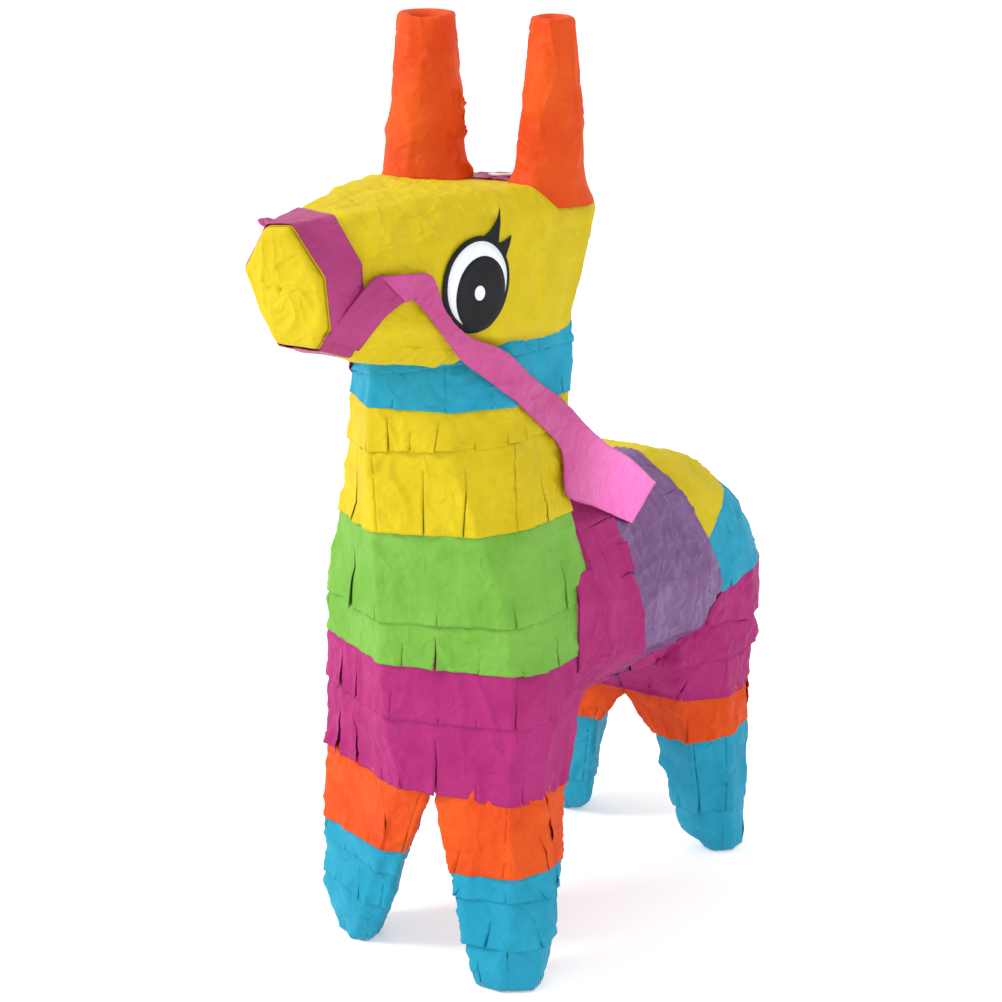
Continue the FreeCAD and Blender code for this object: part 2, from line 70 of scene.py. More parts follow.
MM = 0.001
MIDDLE = Vector((-2.55, 32.15, 0))      # middle of the whole animal in the bench frame
REACH = 90.0                            # rays start this far out from a limb's axis
CELL = 0.6                              # mesh spacing on a strip
LONGEST = 7.0                           # a face longer than this spans a gap and is left out
TISSUE = 0.13                           # thickness that a tissue sheet shows at its edges
RIBBON = 0.22                           # the same for a ribbon
TUCKED = 0.3                            # how far tucked paper lies below the surface
EYE = (-8, 145)                         # middle of the eye, along and up
HANG_HOLE = Vector((1.5, 21.5))         # middle of the hanging hole, across and along
HINGE_HEIGHT = 84                       # the flap's hinge, for the paper pressed flat by it
FLAP_GAP = 0.35                         # paper cut away round the flap
HINGE_ROOM = 1.4                        # more cut away above the hinge on other paper


def to_frame(point):
    """A bench point in millimetres, as a point of the shared frame in metres."""
    return (Vector(point) - MIDDLE) * MM


def put(node, key, value):
    """Set one input of a shader node."""
    node.inputs[key].default_value = value


# -------- camera, floor and light
def make_camera():
    azimuth, pitch = math.radians(35.5), math.radians(15)
    ahead = Vector((
        -math.sin(azimuth) * math.cos(pitch),
        math.cos(azimuth) * math.cos(pitch),
        -math.sin(pitch),
    ))
    data = bpy.data.cameras.new("camera")
    data.lens = 70.6
    camera = bpy.data.objects.new("camera", data)
    camera.location = to_frame((226.9, -294.9, 198.5))
    camera.rotation_euler = ahead.to_track_quat("-Z", "Y").to_euler()
    bpy.context.collection.objects.link(camera)
    bpy.context.scene.camera = camera


def area_light(name, place, size, power, warmth=(1, 1, 1)):
    """A square soft light aimed at the middle of the animal."""
    data = bpy.data.lights.new(name, "AREA")
    data.size = size
    data.energy = power
    data.color = warmth
    light = bpy.data.objects.new(name, data)
    light.location = Vector(place)
    aim = Vector((0, 0, 0.09)) - light.location
    light.rotation_euler = aim.to_track_quat("-Z", "Y").to_euler()
    bpy.context.collection.objects.link(light)


def make_studio():
    world = bpy.data.worlds.new("studio")
    world.use_nodes = True
    background = world.node_tree.nodes["Background"]
    put(background, "Color", (1, 1, 1, 1))
    put(background, "Strength", 1.0)
    bpy.context.scene.world = world
    bpy.context.scene.view_settings.view_transform = "Standard"
    area_light("key", (-0.6, -0.6, 0.7), 0.3, 7.0, (1, 0.98, 0.95))
    area_light("fill", (0.9, -0.5, 0.5), 0.7, 0.8, (0.97, 0.98, 1))
    area_light("top", (0.15, 0.35, 0.9), 0.5, 0.8)

    bpy.ops.mesh.primitive_plane_add(size=40, location=(0, 0, -0.0002))
    floor = bpy.context.object
    floor.name = "floor"
    material = bpy.data.materials.new("floor")
    material.use_nodes = True
    shader = material.node_tree.nodes["Principled BSDF"]
    put(shader, "Base Color", (0.86, 0.86, 0.86, 1))
    put(shader, "Roughness", 0.7)
    put(shader, "Emission Color", (1, 1, 1, 1))
    put(shader, "Emission Strength", 0.3)
    floor.data.materials.append(material)


# -------- materials
def paper(name, colour, pale, rough=0.66, gloss=0.2, mottle=90.0, wrinkle=1.0, fade=None):
    """Dyed paper: cloudy dye, short fibres that stand out a little, and uneven shine.

    fade gives a colour that takes over along the animal, between two places in metres."""
    material = bpy.data.materials.new(name)
    material.use_nodes = True
    nodes, links = material.node_tree.nodes, material.node_tree.links
    shader = nodes["Principled BSDF"]
    put(shader, "Specular IOR Level", gloss)
    place = nodes.new("ShaderNodeTexCoord").outputs["Object"]

    def cloud(scale, detail, stretch=(1, 1, 1)):
        mapping = nodes.new("ShaderNodeMapping")
        put(mapping, "Scale", stretch)
        links.new(place, mapping.inputs["Vector"])
        texture = nodes.new("ShaderNodeTexNoise")
        put(texture, "Scale", scale)
        put(texture, "Detail", detail)
        links.new(mapping.outputs["Vector"], texture.inputs["Vector"])
        return texture.outputs["Fac"]

    dye = nodes.new("ShaderNodeValToRGB")
    dye.color_ramp.elements[0].position = 0.34
    dye.color_ramp.elements[0].color = (*colour, 1)
    dye.color_ramp.elements[1].position = 0.72
    dye.color_ramp.elements[1].color = (*pale, 1)
    links.new(cloud(mottle, 5), dye.inputs["Fac"])
    dyed = dye.outputs["Color"]
    if fade:
        apart = nodes.new("ShaderNodeSeparateXYZ")
        links.new(place, apart.inputs[0])
        share = nodes.new("ShaderNodeMapRange")
        put(share, "From Min", fade[1])
        put(share, "From Max", fade[2])
        links.new(apart.outputs["Y"], share.inputs["Value"])
        blend = nodes.new("ShaderNodeMix")
        blend.data_type = "RGBA"
        put(blend, "B", (*fade[0], 1))
        links.new(share.outputs["Result"], blend.inputs["Factor"])
        links.new(dyed, blend.inputs["A"])
        dyed = blend.outputs["Result"]
    flecks = nodes.new("ShaderNodeMapRange")
    put(flecks, "To Min", 0.93)
    put(flecks, "To Max", 1.06)
    fibres = cloud(1500, 3, (1, 1, 0.25))
    links.new(fibres, flecks.inputs["Value"])
    tint = nodes.new("ShaderNodeVectorMath")
    tint.operation = "SCALE"
    links.new(dyed, tint.inputs[0])
    links.new(flecks.outputs["Result"], tint.inputs["Scale"])
    links.new(tint.outputs["Vector"], shader.inputs["Base Color"])

    sheen = nodes.new("ShaderNodeMapRange")
    put(sheen, "To Min", rough - 0.12)
    put(sheen, "To Max", rough + 0.14)
    links.new(cloud(420, 3), sheen.inputs["Value"])
    links.new(sheen.outputs["Result"], shader.inputs["Roughness"])

    def arith(operation, value, number):
        node = nodes.new("ShaderNodeMath")
        node.operation = operation
        links.new(value, node.inputs[0])
        node.inputs[1].default_value = number
        return node.outputs[0]

    # Fine wrinkles run where a soft cloud passes its middle value.
    off_middle = arith("ABSOLUTE", arith("ADD", cloud(210, 1.5), -0.5), 0)
    slack = arith("MULTIPLY", arith("MINIMUM", off_middle, 0.09), -wrinkle / 0.09)
    both = nodes.new("ShaderNodeMath")
    links.new(slack, both.inputs[0])
    links.new(arith("MULTIPLY", fibres, 0.3), both.inputs[1])
    bump = nodes.new("ShaderNodeBump")
    put(bump, "Strength", 0.7)
    put(bump, "Distance", 0.0002)
    links.new(both.outputs[0], bump.inputs["Height"])
    links.new(bump.outputs["Normal"], shader.inputs["Normal"])
    return material


DYES = {
    "tissue_yellow": dict(colour=(0.53, 0.40, 0.002), pale=(0.60, 0.47, 0.006)),
    "tissue_magenta": dict(colour=(0.32, 0.011, 0.125), pale=(0.38, 0.022, 0.165)),
    "tissue_turquoise": dict(colour=(0.005, 0.25, 0.40), pale=(0.02, 0.32, 0.47)),
    "tissue_green": dict(colour=(0.13, 0.35, 0.035), pale=(0.18, 0.41, 0.06)),
    "tissue_purple": dict(colour=(0.105, 0.030, 0.145), pale=(0.17, 0.062, 0.22), rough=0.42,
                          gloss=0.6, wrinkle=1.4),
    "tissue_orange": dict(colour=(0.60, 0.050, 0.002), pale=(0.68, 0.085, 0.005)),
    "ribbon": dict(colour=(0.30, 0.012, 0.12), pale=(0.38, 0.028, 0.17), rough=0.45, gloss=0.4),
    "strap": dict(colour=(0.42, 0.03, 0.18), pale=(0.50, 0.05, 0.25), rough=0.42, gloss=0.5,
                  fade=((0.92, 0.145, 0.55), -0.014, 0.010)),
    "patch": dict(colour=(0.74, 0.72, 0.70), pale=(0.8, 0.79, 0.77)),
    "sticker": dict(colour=(0.74, 0.76, 0.80), pale=(0.80, 0.82, 0.86), rough=0.3, gloss=0.5,
                    wrinkle=0),
    "ink": dict(colour=(0.006, 0.007, 0.009), pale=(0.014, 0.015, 0.018), rough=0.5, gloss=0.16,
                wrinkle=0),
    # crease: painted shade, the dark grey of the shadow in the eye sticker's fold, not a colour
    # of the sticker itself.
    "crease": dict(colour=(0.05, 0.05, 0.055), pale=(0.09, 0.09, 0.1), rough=0.4),
    "card": dict(colour=(0.36, 0.23, 0.12), pale=(0.46, 0.31, 0.18), rough=0.75, gloss=0.2),
}
PAPERS = {name: paper(name, **dye) for name, dye in DYES.items()}


# -------- reading the limbs
class Form:
    """The outer surface of a limb.  place gives an axis point and an outward direction."""

    def __init__(self, names, place, ends=(-1000.0, 1000.0)):
        """ends are the heights of a standing limb; past them it is taken to run on."""
        points, faces = [], []
        for name in names:
            mesh = frame["nodes"][name].data
            first = len(points)
            points += [vertex.co / MM + MIDDLE for vertex in mesh.vertices]
            faces += [[first + i for i in face.vertices] for face in mesh.polygons]
        self.tree = BVHTree.FromPolygons(points, faces)
        self.place = place
        self.ends = ends

    def hit(self, turn, along):
        """The outermost point that a ray finds, or None where the limb has ended."""
        inside = min(max(along, self.ends[0]), self.ends[1])
        target, outward = self.place(turn, inside)
        found = self.tree.ray_cast(target + outward * REACH, -outward, REACH)[0]
        if found is not None and inside != along:
            found.z += along - inside
        return found

    def line(self, turns, stations):
        """Points at several stations; past the end of the limb they run straight on."""
        found = [self.hit(turn, along) for turn, along in zip(turns, stations)]
        known = [i for i, point in enumerate(found) if point is not None]
        if not known:
            return [self.place(turn, along)[0] for turn, along in zip(turns, stations)]
        for i in range(known[0] - 1, -1, -1):
            found[i] = found[i + 1]
        for i in range(known[0] + 1, len(found)):
            if found[i] is None:
                step = found[i - 1] - found[i - 2] if i > known[0] + 1 else Vector()
                found[i] = found[i - 1] + step * min(1.0, CELL / (step.length + 1e-6))
        return found

    def crossing(self, turn, edge, low, high):
        """Where edge(point) changes sign on the way from low, where it is negative."""
        for _ in range(13):
            middle = (low + high) / 2
            point = self.hit(turn, middle)
            if point is None or edge(point) < 0:
                low = middle
            else:
                high = middle
        return high


def upright(across, along):
    """Level rays about a standing axis; a turn of 0 looks to the animal's left."""
    def place(turn, height):
        return Vector((across, along, height)), Vector((math.cos(turn), math.sin(turn), 0))
    return place


def barrel(height):
    """Rays square to an axis that runs along the animal; a turn of 0 looks up."""
    def place(turn, along):
        return Vector((0, along, height)), Vector((math.sin(turn), 0, math.cos(turn)))
    return place


def head_barrel(turn, along):
    """Rays round the head, leaning over with the muzzle face and with the back of it."""
    lean = float(np.interp(along, (-36, -26, 12, 22), (-0.13, 0, 0, 0.35)))
    outward = Vector((math.sin(turn), lean * math.cos(turn), math.cos(turn)))
    return Vector((0, along, 145)), outward.normalized()


def from_behind(across, height):
    """Level rays that come from behind the animal."""
    return Vector((across, 0, height)), Vector((0, 1, 0))


def fan(across, along, height):
    """Rays from one point; turn goes round level, and the second value is the elevation."""
    centre = Vector((across, along, height))

    def place(turn, rise):
        level = math.cos(rise)
        return centre, Vector((math.cos(turn) * level, math.sin(turn) * level, math.sin(rise)))
    return place


# Strip edges, each as a signed distance in millimetres.
def level(height, rise_left=0.0, rise_back=0.0):
    return lambda p: height + rise_left * p.x + rise_back * p.y - p.z


def leaning(along, height, lean):
    return lambda p: p.y - along + lean * (p.z - height)


def bowed(along, height, lean, bow):
    """A leaning edge that swings forward below the given height, under the belly."""
    return lambda p: p.y - along + lean * (p.z - height) + bow * min(0, (p.z - height) / 20) ** 2


def sloping(along, height, rise):
    return lambda p: height + rise * (p.y - along) - p.z


def present(_):
    """No edge but the end of the limb itself."""
    return 1.0


# -------- crumples and creases
def field(us, vs, seed, wide, tall):
    """Smooth noise over a sheet, its grain wide by tall millimetres."""
    values = [
        noise.noise(Vector((u / wide, v / tall, seed * 7.31)))
        for u, v in zip(us.ravel(), vs.ravel())
    ]
    return np.array(values).reshape(us.shape)


def ridges(us, vs, seed, wide, tall):
    """Sharp folds, 1 on a fold's crest and falling away on both sides."""
    return 1 - np.minimum(1, np.abs(field(us, vs, seed, wide, tall)) * 3.2)


def crumples(us, vs, seed, size):
    """Flat facets that meet at sharp folds, as in paper that has been squeezed."""
    values = []
    for u, v in zip(us.ravel(), vs.ravel()):
        near, far = noise.voronoi(Vector((u / size, v / size, seed * 3.7)))[0][:2]
        values.append(min(far - near, 0.6))
    return np.array(values).reshape(us.shape)


def relief(us, vs, seed, soft=0.25, pleat=0.46, crumple=0.6, crumple_size=9.0):
    """Height of the creased paper over the card, in millimetres."""
    bend = field(us, vs, seed + 40, 9, 11) * 4
    height = soft * field(us, vs, seed, 8, 10)
    height += pleat * ridges(us + bend, vs, seed + 9, 6, 14) ** 2
    height -= 0.6 * pleat * ridges(us, vs + bend, seed + 15, 12, 5) ** 3
    height += 0.05 * field(us, vs, seed + 21, 1.8, 2.6)
    return height + crumple * crumples(us + bend, vs + bend, seed, crumple_size)


# -------- sheets
def outward_normals(points, outward):
    """Unit normals of a grid of points, smoothed, on the side that outward points to."""
    across = np.gradient(points, axis=0)
    down = np.gradient(points, axis=1)
    normals = np.cross(across, down)
    normals *= np.sign((normals * outward).sum(-1, keepdims=True) + 1e-12)
    normals /= np.linalg.norm(normals, axis=-1, keepdims=True) + 1e-9
    for _ in range(3):
        padded = np.pad(normals, ((1, 1), (1, 1), (0, 0)), mode="edge")
        normals = (padded[:-2, 1:-1] + padded[2:, 1:-1] + padded[1:-1, :-2]
                   + padded[1:-1, 2:] + 2 * normals)
    return normals / (np.linalg.norm(normals, axis=-1, keepdims=True) + 1e-9)


def make_piece(name, points, faces, slot, body="body", thick=TISSUE, nodes=(), near=1e-4):
    """A mesh object in the shared frame, from bench points; equal points are joined."""
    keys, index, kept = {}, [], []
    for point in points:
        key = tuple(round(value / near) for value in point)
        if key not in keys:
            keys[key] = len(kept)
            kept.append(to_frame(point))
        index.append(keys[key])
    joined = []
    for face in faces:
        corners = list(dict.fromkeys(index[i] for i in face))
        longest = max((kept[a] - kept[b]).length for a, b in zip(corners, corners[1:] + corners))
        if len(corners) > 2 and longest < LONGEST * MM:
            joined.append(corners)
    mesh = bpy.data.meshes.new(name)
    mesh.from_pydata(kept, [], joined)
    mesh.polygons.foreach_set("use_smooth", [True] * len(mesh.polygons))
    mesh.materials.append(PAPERS[slot])
    piece = bpy.data.objects.new(name, mesh)
    bpy.context.collection.objects.link(piece)
    if thick:
        solidify = piece.modifiers.new("thickness", "SOLIDIFY")
        solidify.thickness = thick * MM
        solidify.offset = -1
    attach(piece, body)
    if nodes:
        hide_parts(*nodes)
    return piece


def grid_faces(columns, rows, first=0):
    return [
        (first + c * rows + r, first + (c + 1) * rows + r,
         first + (c + 1) * rows + r + 1, first + c * rows + r + 1)
        for c in range(columns - 1) for r in range(rows - 1)
    ]


def make_sheet(name, grid, slot, **more):
    """A piece from a grid of bench points."""
    points = [tuple(point) for point in grid.reshape(-1, 3)]
    return make_piece(name, points, grid_faces(*grid.shape[:2]), slot, **more)


class Track:
    """Evenly spaced columns along a strip, with where its two edges lie on each."""

    def __init__(self, form, top, bottom, span, turns):
        self.form = form
        coarse = np.linspace(*turns, 200)
        starts = [form.crossing(turn, top, *span) for turn in coarse]
        ends = [form.crossing(turn, bottom, *span) for turn in coarse]
        middles = [
            form.hit(turn, (a + b) / 2) or form.hit(turn, b) or form.place(turn, b)[0]
            for turn, a, b in zip(coarse, starts, ends)
        ]
        steps = [0.0] + [(b - a).length for a, b in zip(middles, middles[1:])]
        walked = np.cumsum(steps)
        self.length = walked[-1]
        self.turn = lambda u: float(np.interp(u, walked, coarse))
        self.start = lambda u: float(np.interp(u, walked, starts))
        self.end = lambda u: float(np.interp(u, walked, ends))

    def width(self, u):
        stations = np.linspace(self.start(u), self.end(u), 7)
        line = self.form.line([self.turn(u)] * 7, stations)
        return sum((b - a).length for a, b in zip(line, line[1:]))


def fall(distance, reach):
    """1 at an edge, easing to 0 at reach millimetres from it."""
    return np.clip(1 - distance / reach, 0, 1) ** 2


class Tab:
    """The stretch of a strip between two slits.  Each side may lift and draw back."""

    def __init__(self, left, right, chance, lift, ragged):
        self.left, self.right = left, right
        self.slit = [0.0, 0.0]          # where the slits begin, as a share of the width
        self.lift = [lift * (0.06 + chance.random() ** 5 * 1.5) for _ in range(2)]
        self.draw = [0.012 + 0.2 * chance.random() ** 7 for _ in range(2)]
        self.longer = chance.uniform(-ragged, ragged)
        self.slant = chance.uniform(-0.02, 0.02)


def lay_strip(name, form, slot, top, bottom, span, turns, seed=1, under=6.0, tabs=(6, 13),
              lift=0.3, ragged=0.08, proud=0.22, gapes=(), nodes=(), flare=0.12,
              liner=True, press=None, **creases):
    """Lay one strip of fringed tissue over a limb.

    top and bottom are its edges; span runs from above the top to below the bottom.  The
    strip starts under the one above it.  gapes lists (share along the strip, lift), and
    press gives the share of the relief that is left at a point, where something lies on it."""
    chance = random.Random(seed)
    track = Track(form, top, bottom, span, turns)
    widths = [track.width(u) for u in np.linspace(0, track.length, 24)]
    broad = max(widths)
    rows = max(6, round(broad / CELL) + 1)
    tucked = np.linspace(-under, 0, max(2, round(under / 1.6)))[:-1] if under else np.array([])

    cuts = [0.0]
    while cuts[-1] + tabs[1] < track.length:
        cuts.append(cuts[-1] + chance.uniform(*tabs))
    cuts.append(track.length)
    pieces = [Tab(a, b, chance, lift, ragged) for a, b in zip(cuts, cuts[1:])]
    for one, following in zip(pieces, pieces[1:]):
        begins = chance.choice([0.4, 0.6, 0.7, 0.75, 0.8, 0.85, 0.88])
        one.slit[1] = following.slit[0] = begins
    pieces[0].slit[0] = pieces[-1].slit[1] = 0.55
    for share, strength in gapes:
        one = min(pieces, key=lambda tab: abs(tab.left - share * track.length))
        place = pieces.index(one)
        if place:
            before = pieces[place - 1]
            before.slit[1] = one.slit[0] = 0.2
            before.lift[1] = strength
            one.lift[0] = strength * 0.5
            before.draw[1] = one.draw[0] = 0.3 * strength

    points, faces = [], []
    for tab in pieces:
        columns = max(4, round((tab.right - tab.left) / CELL) + 1)
        us = np.linspace(tab.left, tab.right, columns)
        base = np.zeros((columns, len(tucked) + rows, 3))
        outward = np.zeros_like(base)
        shares = np.zeros(base.shape[:2])
        depths = np.zeros(base.shape[:2])
        for c, u in enumerate(us):
            start, end = track.start(u), track.end(u)
            width = max(track.width(u), 1.5)
            slit = np.interp(u, [tab.left, tab.right], tab.slit)
            spare = tab.longer + tab.slant * (u - (tab.left + tab.right) / 2)
            share = np.concatenate([tucked / max(width, under), np.linspace(0, 1, rows)])
            free = np.clip((share - slit) / (1 - slit), 0, 1)
            position = start + (end - start) * (share + free ** 2 * spare / width)
            steer = 1.8 * noise.noise(Vector((u / 11, seed, 0.5)))
            steer *= min(1.0, u / 6, (track.length - u) / 6)
            path = [track.turn(u + steer * max(0.0, along)) for along in share]
            base[c] = form.line(path, position)
            outward[c] = [form.place(turn, along)[1] for turn, along in zip(path, position)]
            shares[c], depths[c] = share, share * width
        normals = outward_normals(base, outward)
        grid_u = np.repeat(us[:, None], base.shape[1], axis=1)
        height = relief(grid_u, depths, seed, **creases) * np.clip(shares * 4 + 0.4, 0.15, 1)
        height += proud * np.clip(shares, -1, 1) + flare * np.clip(shares, 0, 1) ** 5
        height = np.maximum(height, 0.0)
        if press:
            height *= np.apply_along_axis(press, -1, base)
        height = np.where(shares < -0.01, -TUCKED, height)
        shift = np.zeros_like(height)
        for side, edge in enumerate((tab.left, tab.right)):
            if edge in (0.0, track.length):
                continue
            reach = np.clip((shares - tab.slit[side]) / (1 - tab.slit[side]), 0, 1)
            near = fall(np.abs(grid_u - edge), 3.2)
            height += tab.lift[side] * reach ** 1.4 * near
            sign = 1 if side == 0 else -1
            shift += sign * tab.draw[side] * reach * fall(np.abs(grid_u - edge), 2.5)
        along_u = np.gradient(base, axis=0)
        along_u /= np.linalg.norm(along_u, axis=-1, keepdims=True) + 1e-9
        placed = base + normals * height[..., None] + along_u * shift[..., None]
        placed[..., 2] = np.maximum(placed[..., 2], 0.15)
        first = len(points)
        points += [tuple(point) for point in placed.reshape(-1, 3)]
        faces += grid_faces(columns, base.shape[1], first)
    piece = make_piece(name, points, faces, slot, nodes=nodes, near=2e-2)
    if liner:
        lay_liner(f"{name}_under", track, slot)
    return piece


def lay_liner(name, track, slot):
    """The ply beneath a fringe, seen through its slits."""
    columns = max(8, round(track.length / 1.5))
    us = np.linspace(0, track.length, columns)
    rows = 8
    base = np.zeros((columns, rows, 3))
    outward = np.zeros_like(base)
    for c, u in enumerate(us):
        turn = track.turn(u)
        stations = np.linspace(track.start(u), track.end(u), rows)
        base[c] = track.form.line([turn] * rows, stations)
        outward[c] = [track.form.place(turn, along)[1] for along in stations]
    placed = base - outward_normals(base, outward) * TUCKED
    placed[..., 2] = np.maximum(placed[..., 2], 0.2)
    make_sheet(name, placed, slot, thick=0.05)


# -------- neck and chest
FULL_TURN = (math.radians(60), math.radians(420))


def dress_neck():
    strips = [
        "neck_strip_turquoise_upper", "neck_strip_turquoise_lower", "neck_strip_yellow_upper",
        "neck_strip_yellow_lower", "chest_strip_green_upper", "chest_strip_green_lower",
        "chest_strip_magenta_upper", "chest_strip_magenta_lower",
    ]
    form = Form(strips, upright(-3, 6), ends=(40.3, 130.7))
    edges = [
        level(131.6, 0.12), level(126.3, 0.18), level(119.2, 0.02), level(111.1, 0.09),
        level(94.5, 0.05), level(75.9, 0.04, 0.02), level(66.5, 0.01, -0.03),
        level(55.4, 0.0, 0.05), level(39.6, -0.03, 0.03),
    ]
    slots = ["turquoise", "turquoise", "yellow", "yellow", "green", "green", "magenta",
             "magenta"]
    looks = {
        0: dict(tabs=(10, 18), ragged=0.2),
        1: dict(tabs=(6, 12), pleat=0.3, crumple=0.6),
        2: dict(tabs=(4, 8), ragged=0.45, gapes=[(0.55, 0.5), (0.62, 0.4)]),
        3: dict(tabs=(7, 12), gapes=[(0.47, 0.7), (0.62, 0.35), (0.67, 0.4)]),
        4: dict(tabs=(9, 16), gapes=[(0.46, 1.2)], crumple=0.55),
        5: dict(tabs=(6, 11), gapes=[(0.66, 0.8)]),
        6: dict(tabs=(6, 11), gapes=[(0.45, 1.3), (0.49, 0.8)], crumple=0.6),
        7: dict(tabs=(5, 10), gapes=[(0.44, 1.4), (0.48, 0.9), (0.64, 0.7)], crumple=0.6,
                lift=0.45),
    }
    for i, name in enumerate(strips):
        lay_strip(
            f"paper_{name}", form, f"tissue_{slots[i]}", edges[i], edges[i + 1], (136.0, 37.0),
            FULL_TURN, seed=11 + i, nodes=[name], **looks[i]
        )


# -------- trunk
def rump_line(p):
    """Height of the lower edge of the purple and turquoise strips: low ahead, high behind."""
    t = min(1.0, max(0.0, (p.y - 59) / 13))
    ease = t * t * (3 - 2 * t)
    return 55.5 + ease * (65.5 + 0.2 * (p.y - 70) - 55.5)


def saddle_press(p):
    """The saddle lies flat under the hip strip and along the hinge of the fill flap."""
    share = 1.0 if p[0] > 0 else min(1.0, 0.06 + abs(p[2] - HINGE_HEIGHT) / 5)
    if p[1] > 48:
        share = min(share, max(-0.4, (p[2] - rump_line(Vector(p)) + 0.6) / 2))
    return share


def under_saddle(p):
    """The rump strips lie flat where the saddle covers them."""
    return min(1.0, max(-1.0, (p[1] - 71 + 0.36 * (p[2] - 70) + 0.3) / 2))


def dress_trunk():
    skins = [
        "trunk_strip_magenta_front", "trunk_strip_magenta_rear", "trunk_strip_purple",
        "rump_strip_yellow", "rump_strip_turquoise_upper", "rump_strip_turquoise_lower",
        "hip_strip_magenta_upper", "flap_tissue",
    ]
    girth_seam = leaning(28, 64, 0.24)
    saddle_front = bowed(41.5, 66, 0.26, 6)
    saddle_back = leaning(71, 70, 0.36)
    rump_seam = sloping(70, 79.5, 0.52)
    rump_middle = sloping(70, 75, 0.30)
    hip_seam = level(51.6, 0, -0.02)
    round_body = Form(skins, barrel(73))
    loop = (-math.pi, math.pi)
    lay_strip(
        "paper_girth_front", round_body, "tissue_magenta", present, girth_seam, (8.0, 60.0),
        loop, seed=31, under=0, tabs=(9, 15), nodes=["trunk_strip_magenta_front"],
        ragged=0.2, flare=0.5,
    )
    lay_strip(
        "paper_girth_rear", round_body, "tissue_magenta", girth_seam, saddle_front,
        (8.0, 60.0), loop, seed=32, under=4, tabs=(6, 10),
        nodes=["trunk_strip_magenta_rear"], ragged=0.8, flare=0.7, lift=0.5,
    )
    saddle = lay_strip(
        "paper_saddle", round_body, "tissue_purple", saddle_front, saddle_back,
        (8.0, 80.0), loop, seed=33, under=5, tabs=(40, 70), flare=0.0,
        nodes=["trunk_strip_purple"], soft=0.5, pleat=0.5, crumple=0.9, crumple_size=13.0,
        ragged=0.1, proud=0.3, liner=False, press=saddle_press,
    )
    lay_strip(
        "paper_rump_yellow", round_body, "tissue_yellow", saddle_back, rump_seam,
        (50.0, 104.0), (-1.34, 1.34), seed=34, under=4, nodes=["rump_strip_yellow"],
        tabs=(8, 14), press=under_saddle,
    )

    rump = Form(skins, fan(0, 70, 60))
    behind = (math.radians(-8), math.radians(188))
    rise = (math.radians(80), math.radians(-25))
    lay_strip(
        "paper_rump_turquoise_upper", rump, "tissue_turquoise", rump_seam, rump_middle,
        rise, behind, seed=35, nodes=["rump_strip_turquoise_upper"], tabs=(9, 14),
        press=under_saddle,
    )
    lay_strip(
        "paper_rump_turquoise_lower", rump, "tissue_turquoise", rump_middle,
        sloping(70, 65.5, 0.20), rise, behind, seed=36,
        nodes=["rump_strip_turquoise_lower"], tabs=(8, 13), crumple=0.6, press=under_saddle,
    )

    hips = Form(skins[1:] + ["hip_strip_magenta_lower"], upright(0, 72))
    around = (math.radians(-55), math.radians(235))
    lay_strip(
        "paper_hip_upper", hips, "tissue_magenta", lambda p: rump_line(p) - p.z, hip_seam,
        (78.0, 44.0), around, seed=37, under=0, tabs=(8, 14),
        nodes=["hip_strip_magenta_upper"], crumple=1.5, crumple_size=8.0, proud=0.6,
    )
    skirt = Form(["hip_strip_magenta_upper", "hip_strip_magenta_lower"], upright(0, 80),
                 ends=(41.0, 200.0))
    lay_strip(
        "paper_hip_lower", skirt, "tissue_magenta", hip_seam, level(40.0), (60.0, 38.0),
        (math.radians(-80), math.radians(280)), seed=38, nodes=["hip_strip_magenta_lower"],
        tabs=(6, 11),
    )
    cut_flap(saddle, [
        bpy.data.objects[name]
        for name in ("paper_girth_rear", "paper_girth_rear_under", "paper_rump_yellow",
                     "paper_rump_yellow_under")
    ])


def cut_flap(saddle, others):
    """Part the saddle paper along the edge of the fill flap, and hang that piece on it."""
    low, high = (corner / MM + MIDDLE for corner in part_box("flap_tissue"))
    hole = (low.y - FLAP_GAP, high.y + FLAP_GAP, low.z - FLAP_GAP, high.z + FLAP_GAP)
    lid = (low.y + 0.1, high.y - 0.1, low.z + 0.1, high.z - 0.8)

    def inside(p, window):
        return p.x < 0 and window[0] < p.y < window[1] and window[2] < p.z < window[3]

    for piece in (saddle, *others):
        mesh = piece.data
        sheet = bmesh.new()
        sheet.from_mesh(mesh)
        for window in (hole, lid):
            for place, way in zip(window, ((0, 1, 0), (0, 1, 0), (0, 0, 1), (0, 0, 1))):
                at = to_frame((0, place, 0) if way[1] else (0, 0, place))
                everything = [*sheet.verts, *sheet.edges, *sheet.faces]
                bmesh.ops.bisect_plane(sheet, geom=everything, plane_co=at, plane_no=way)
        sheet.to_mesh(mesh)
        sheet.free()
        corners = [vertex.co / MM + MIDDLE for vertex in mesh.vertices]
        faces = [list(face.vertices) for face in mesh.polygons]
        middles = [sum((corners[i] for i in face), Vector()) / len(face) for face in faces]
        if piece is saddle:
            lid_faces = [face for face, p in zip(faces, middles) if inside(p, lid)]
            make_piece("paper_flap", [tuple(p) for p in corners], lid_faces, "tissue_purple",
                       body="fill_flap", nodes=["flap_tissue"])
        rim = hole if piece is saddle else (*hole[:3], hole[3] + HINGE_ROOM)
        kept = [face for face, p in zip(faces, middles) if not inside(p, rim)]
        mesh.clear_geometry()
        mesh.from_pydata([to_frame(p) for p in corners], [], kept)
        mesh.polygons.foreach_set("use_smooth", [True] * len(mesh.polygons))


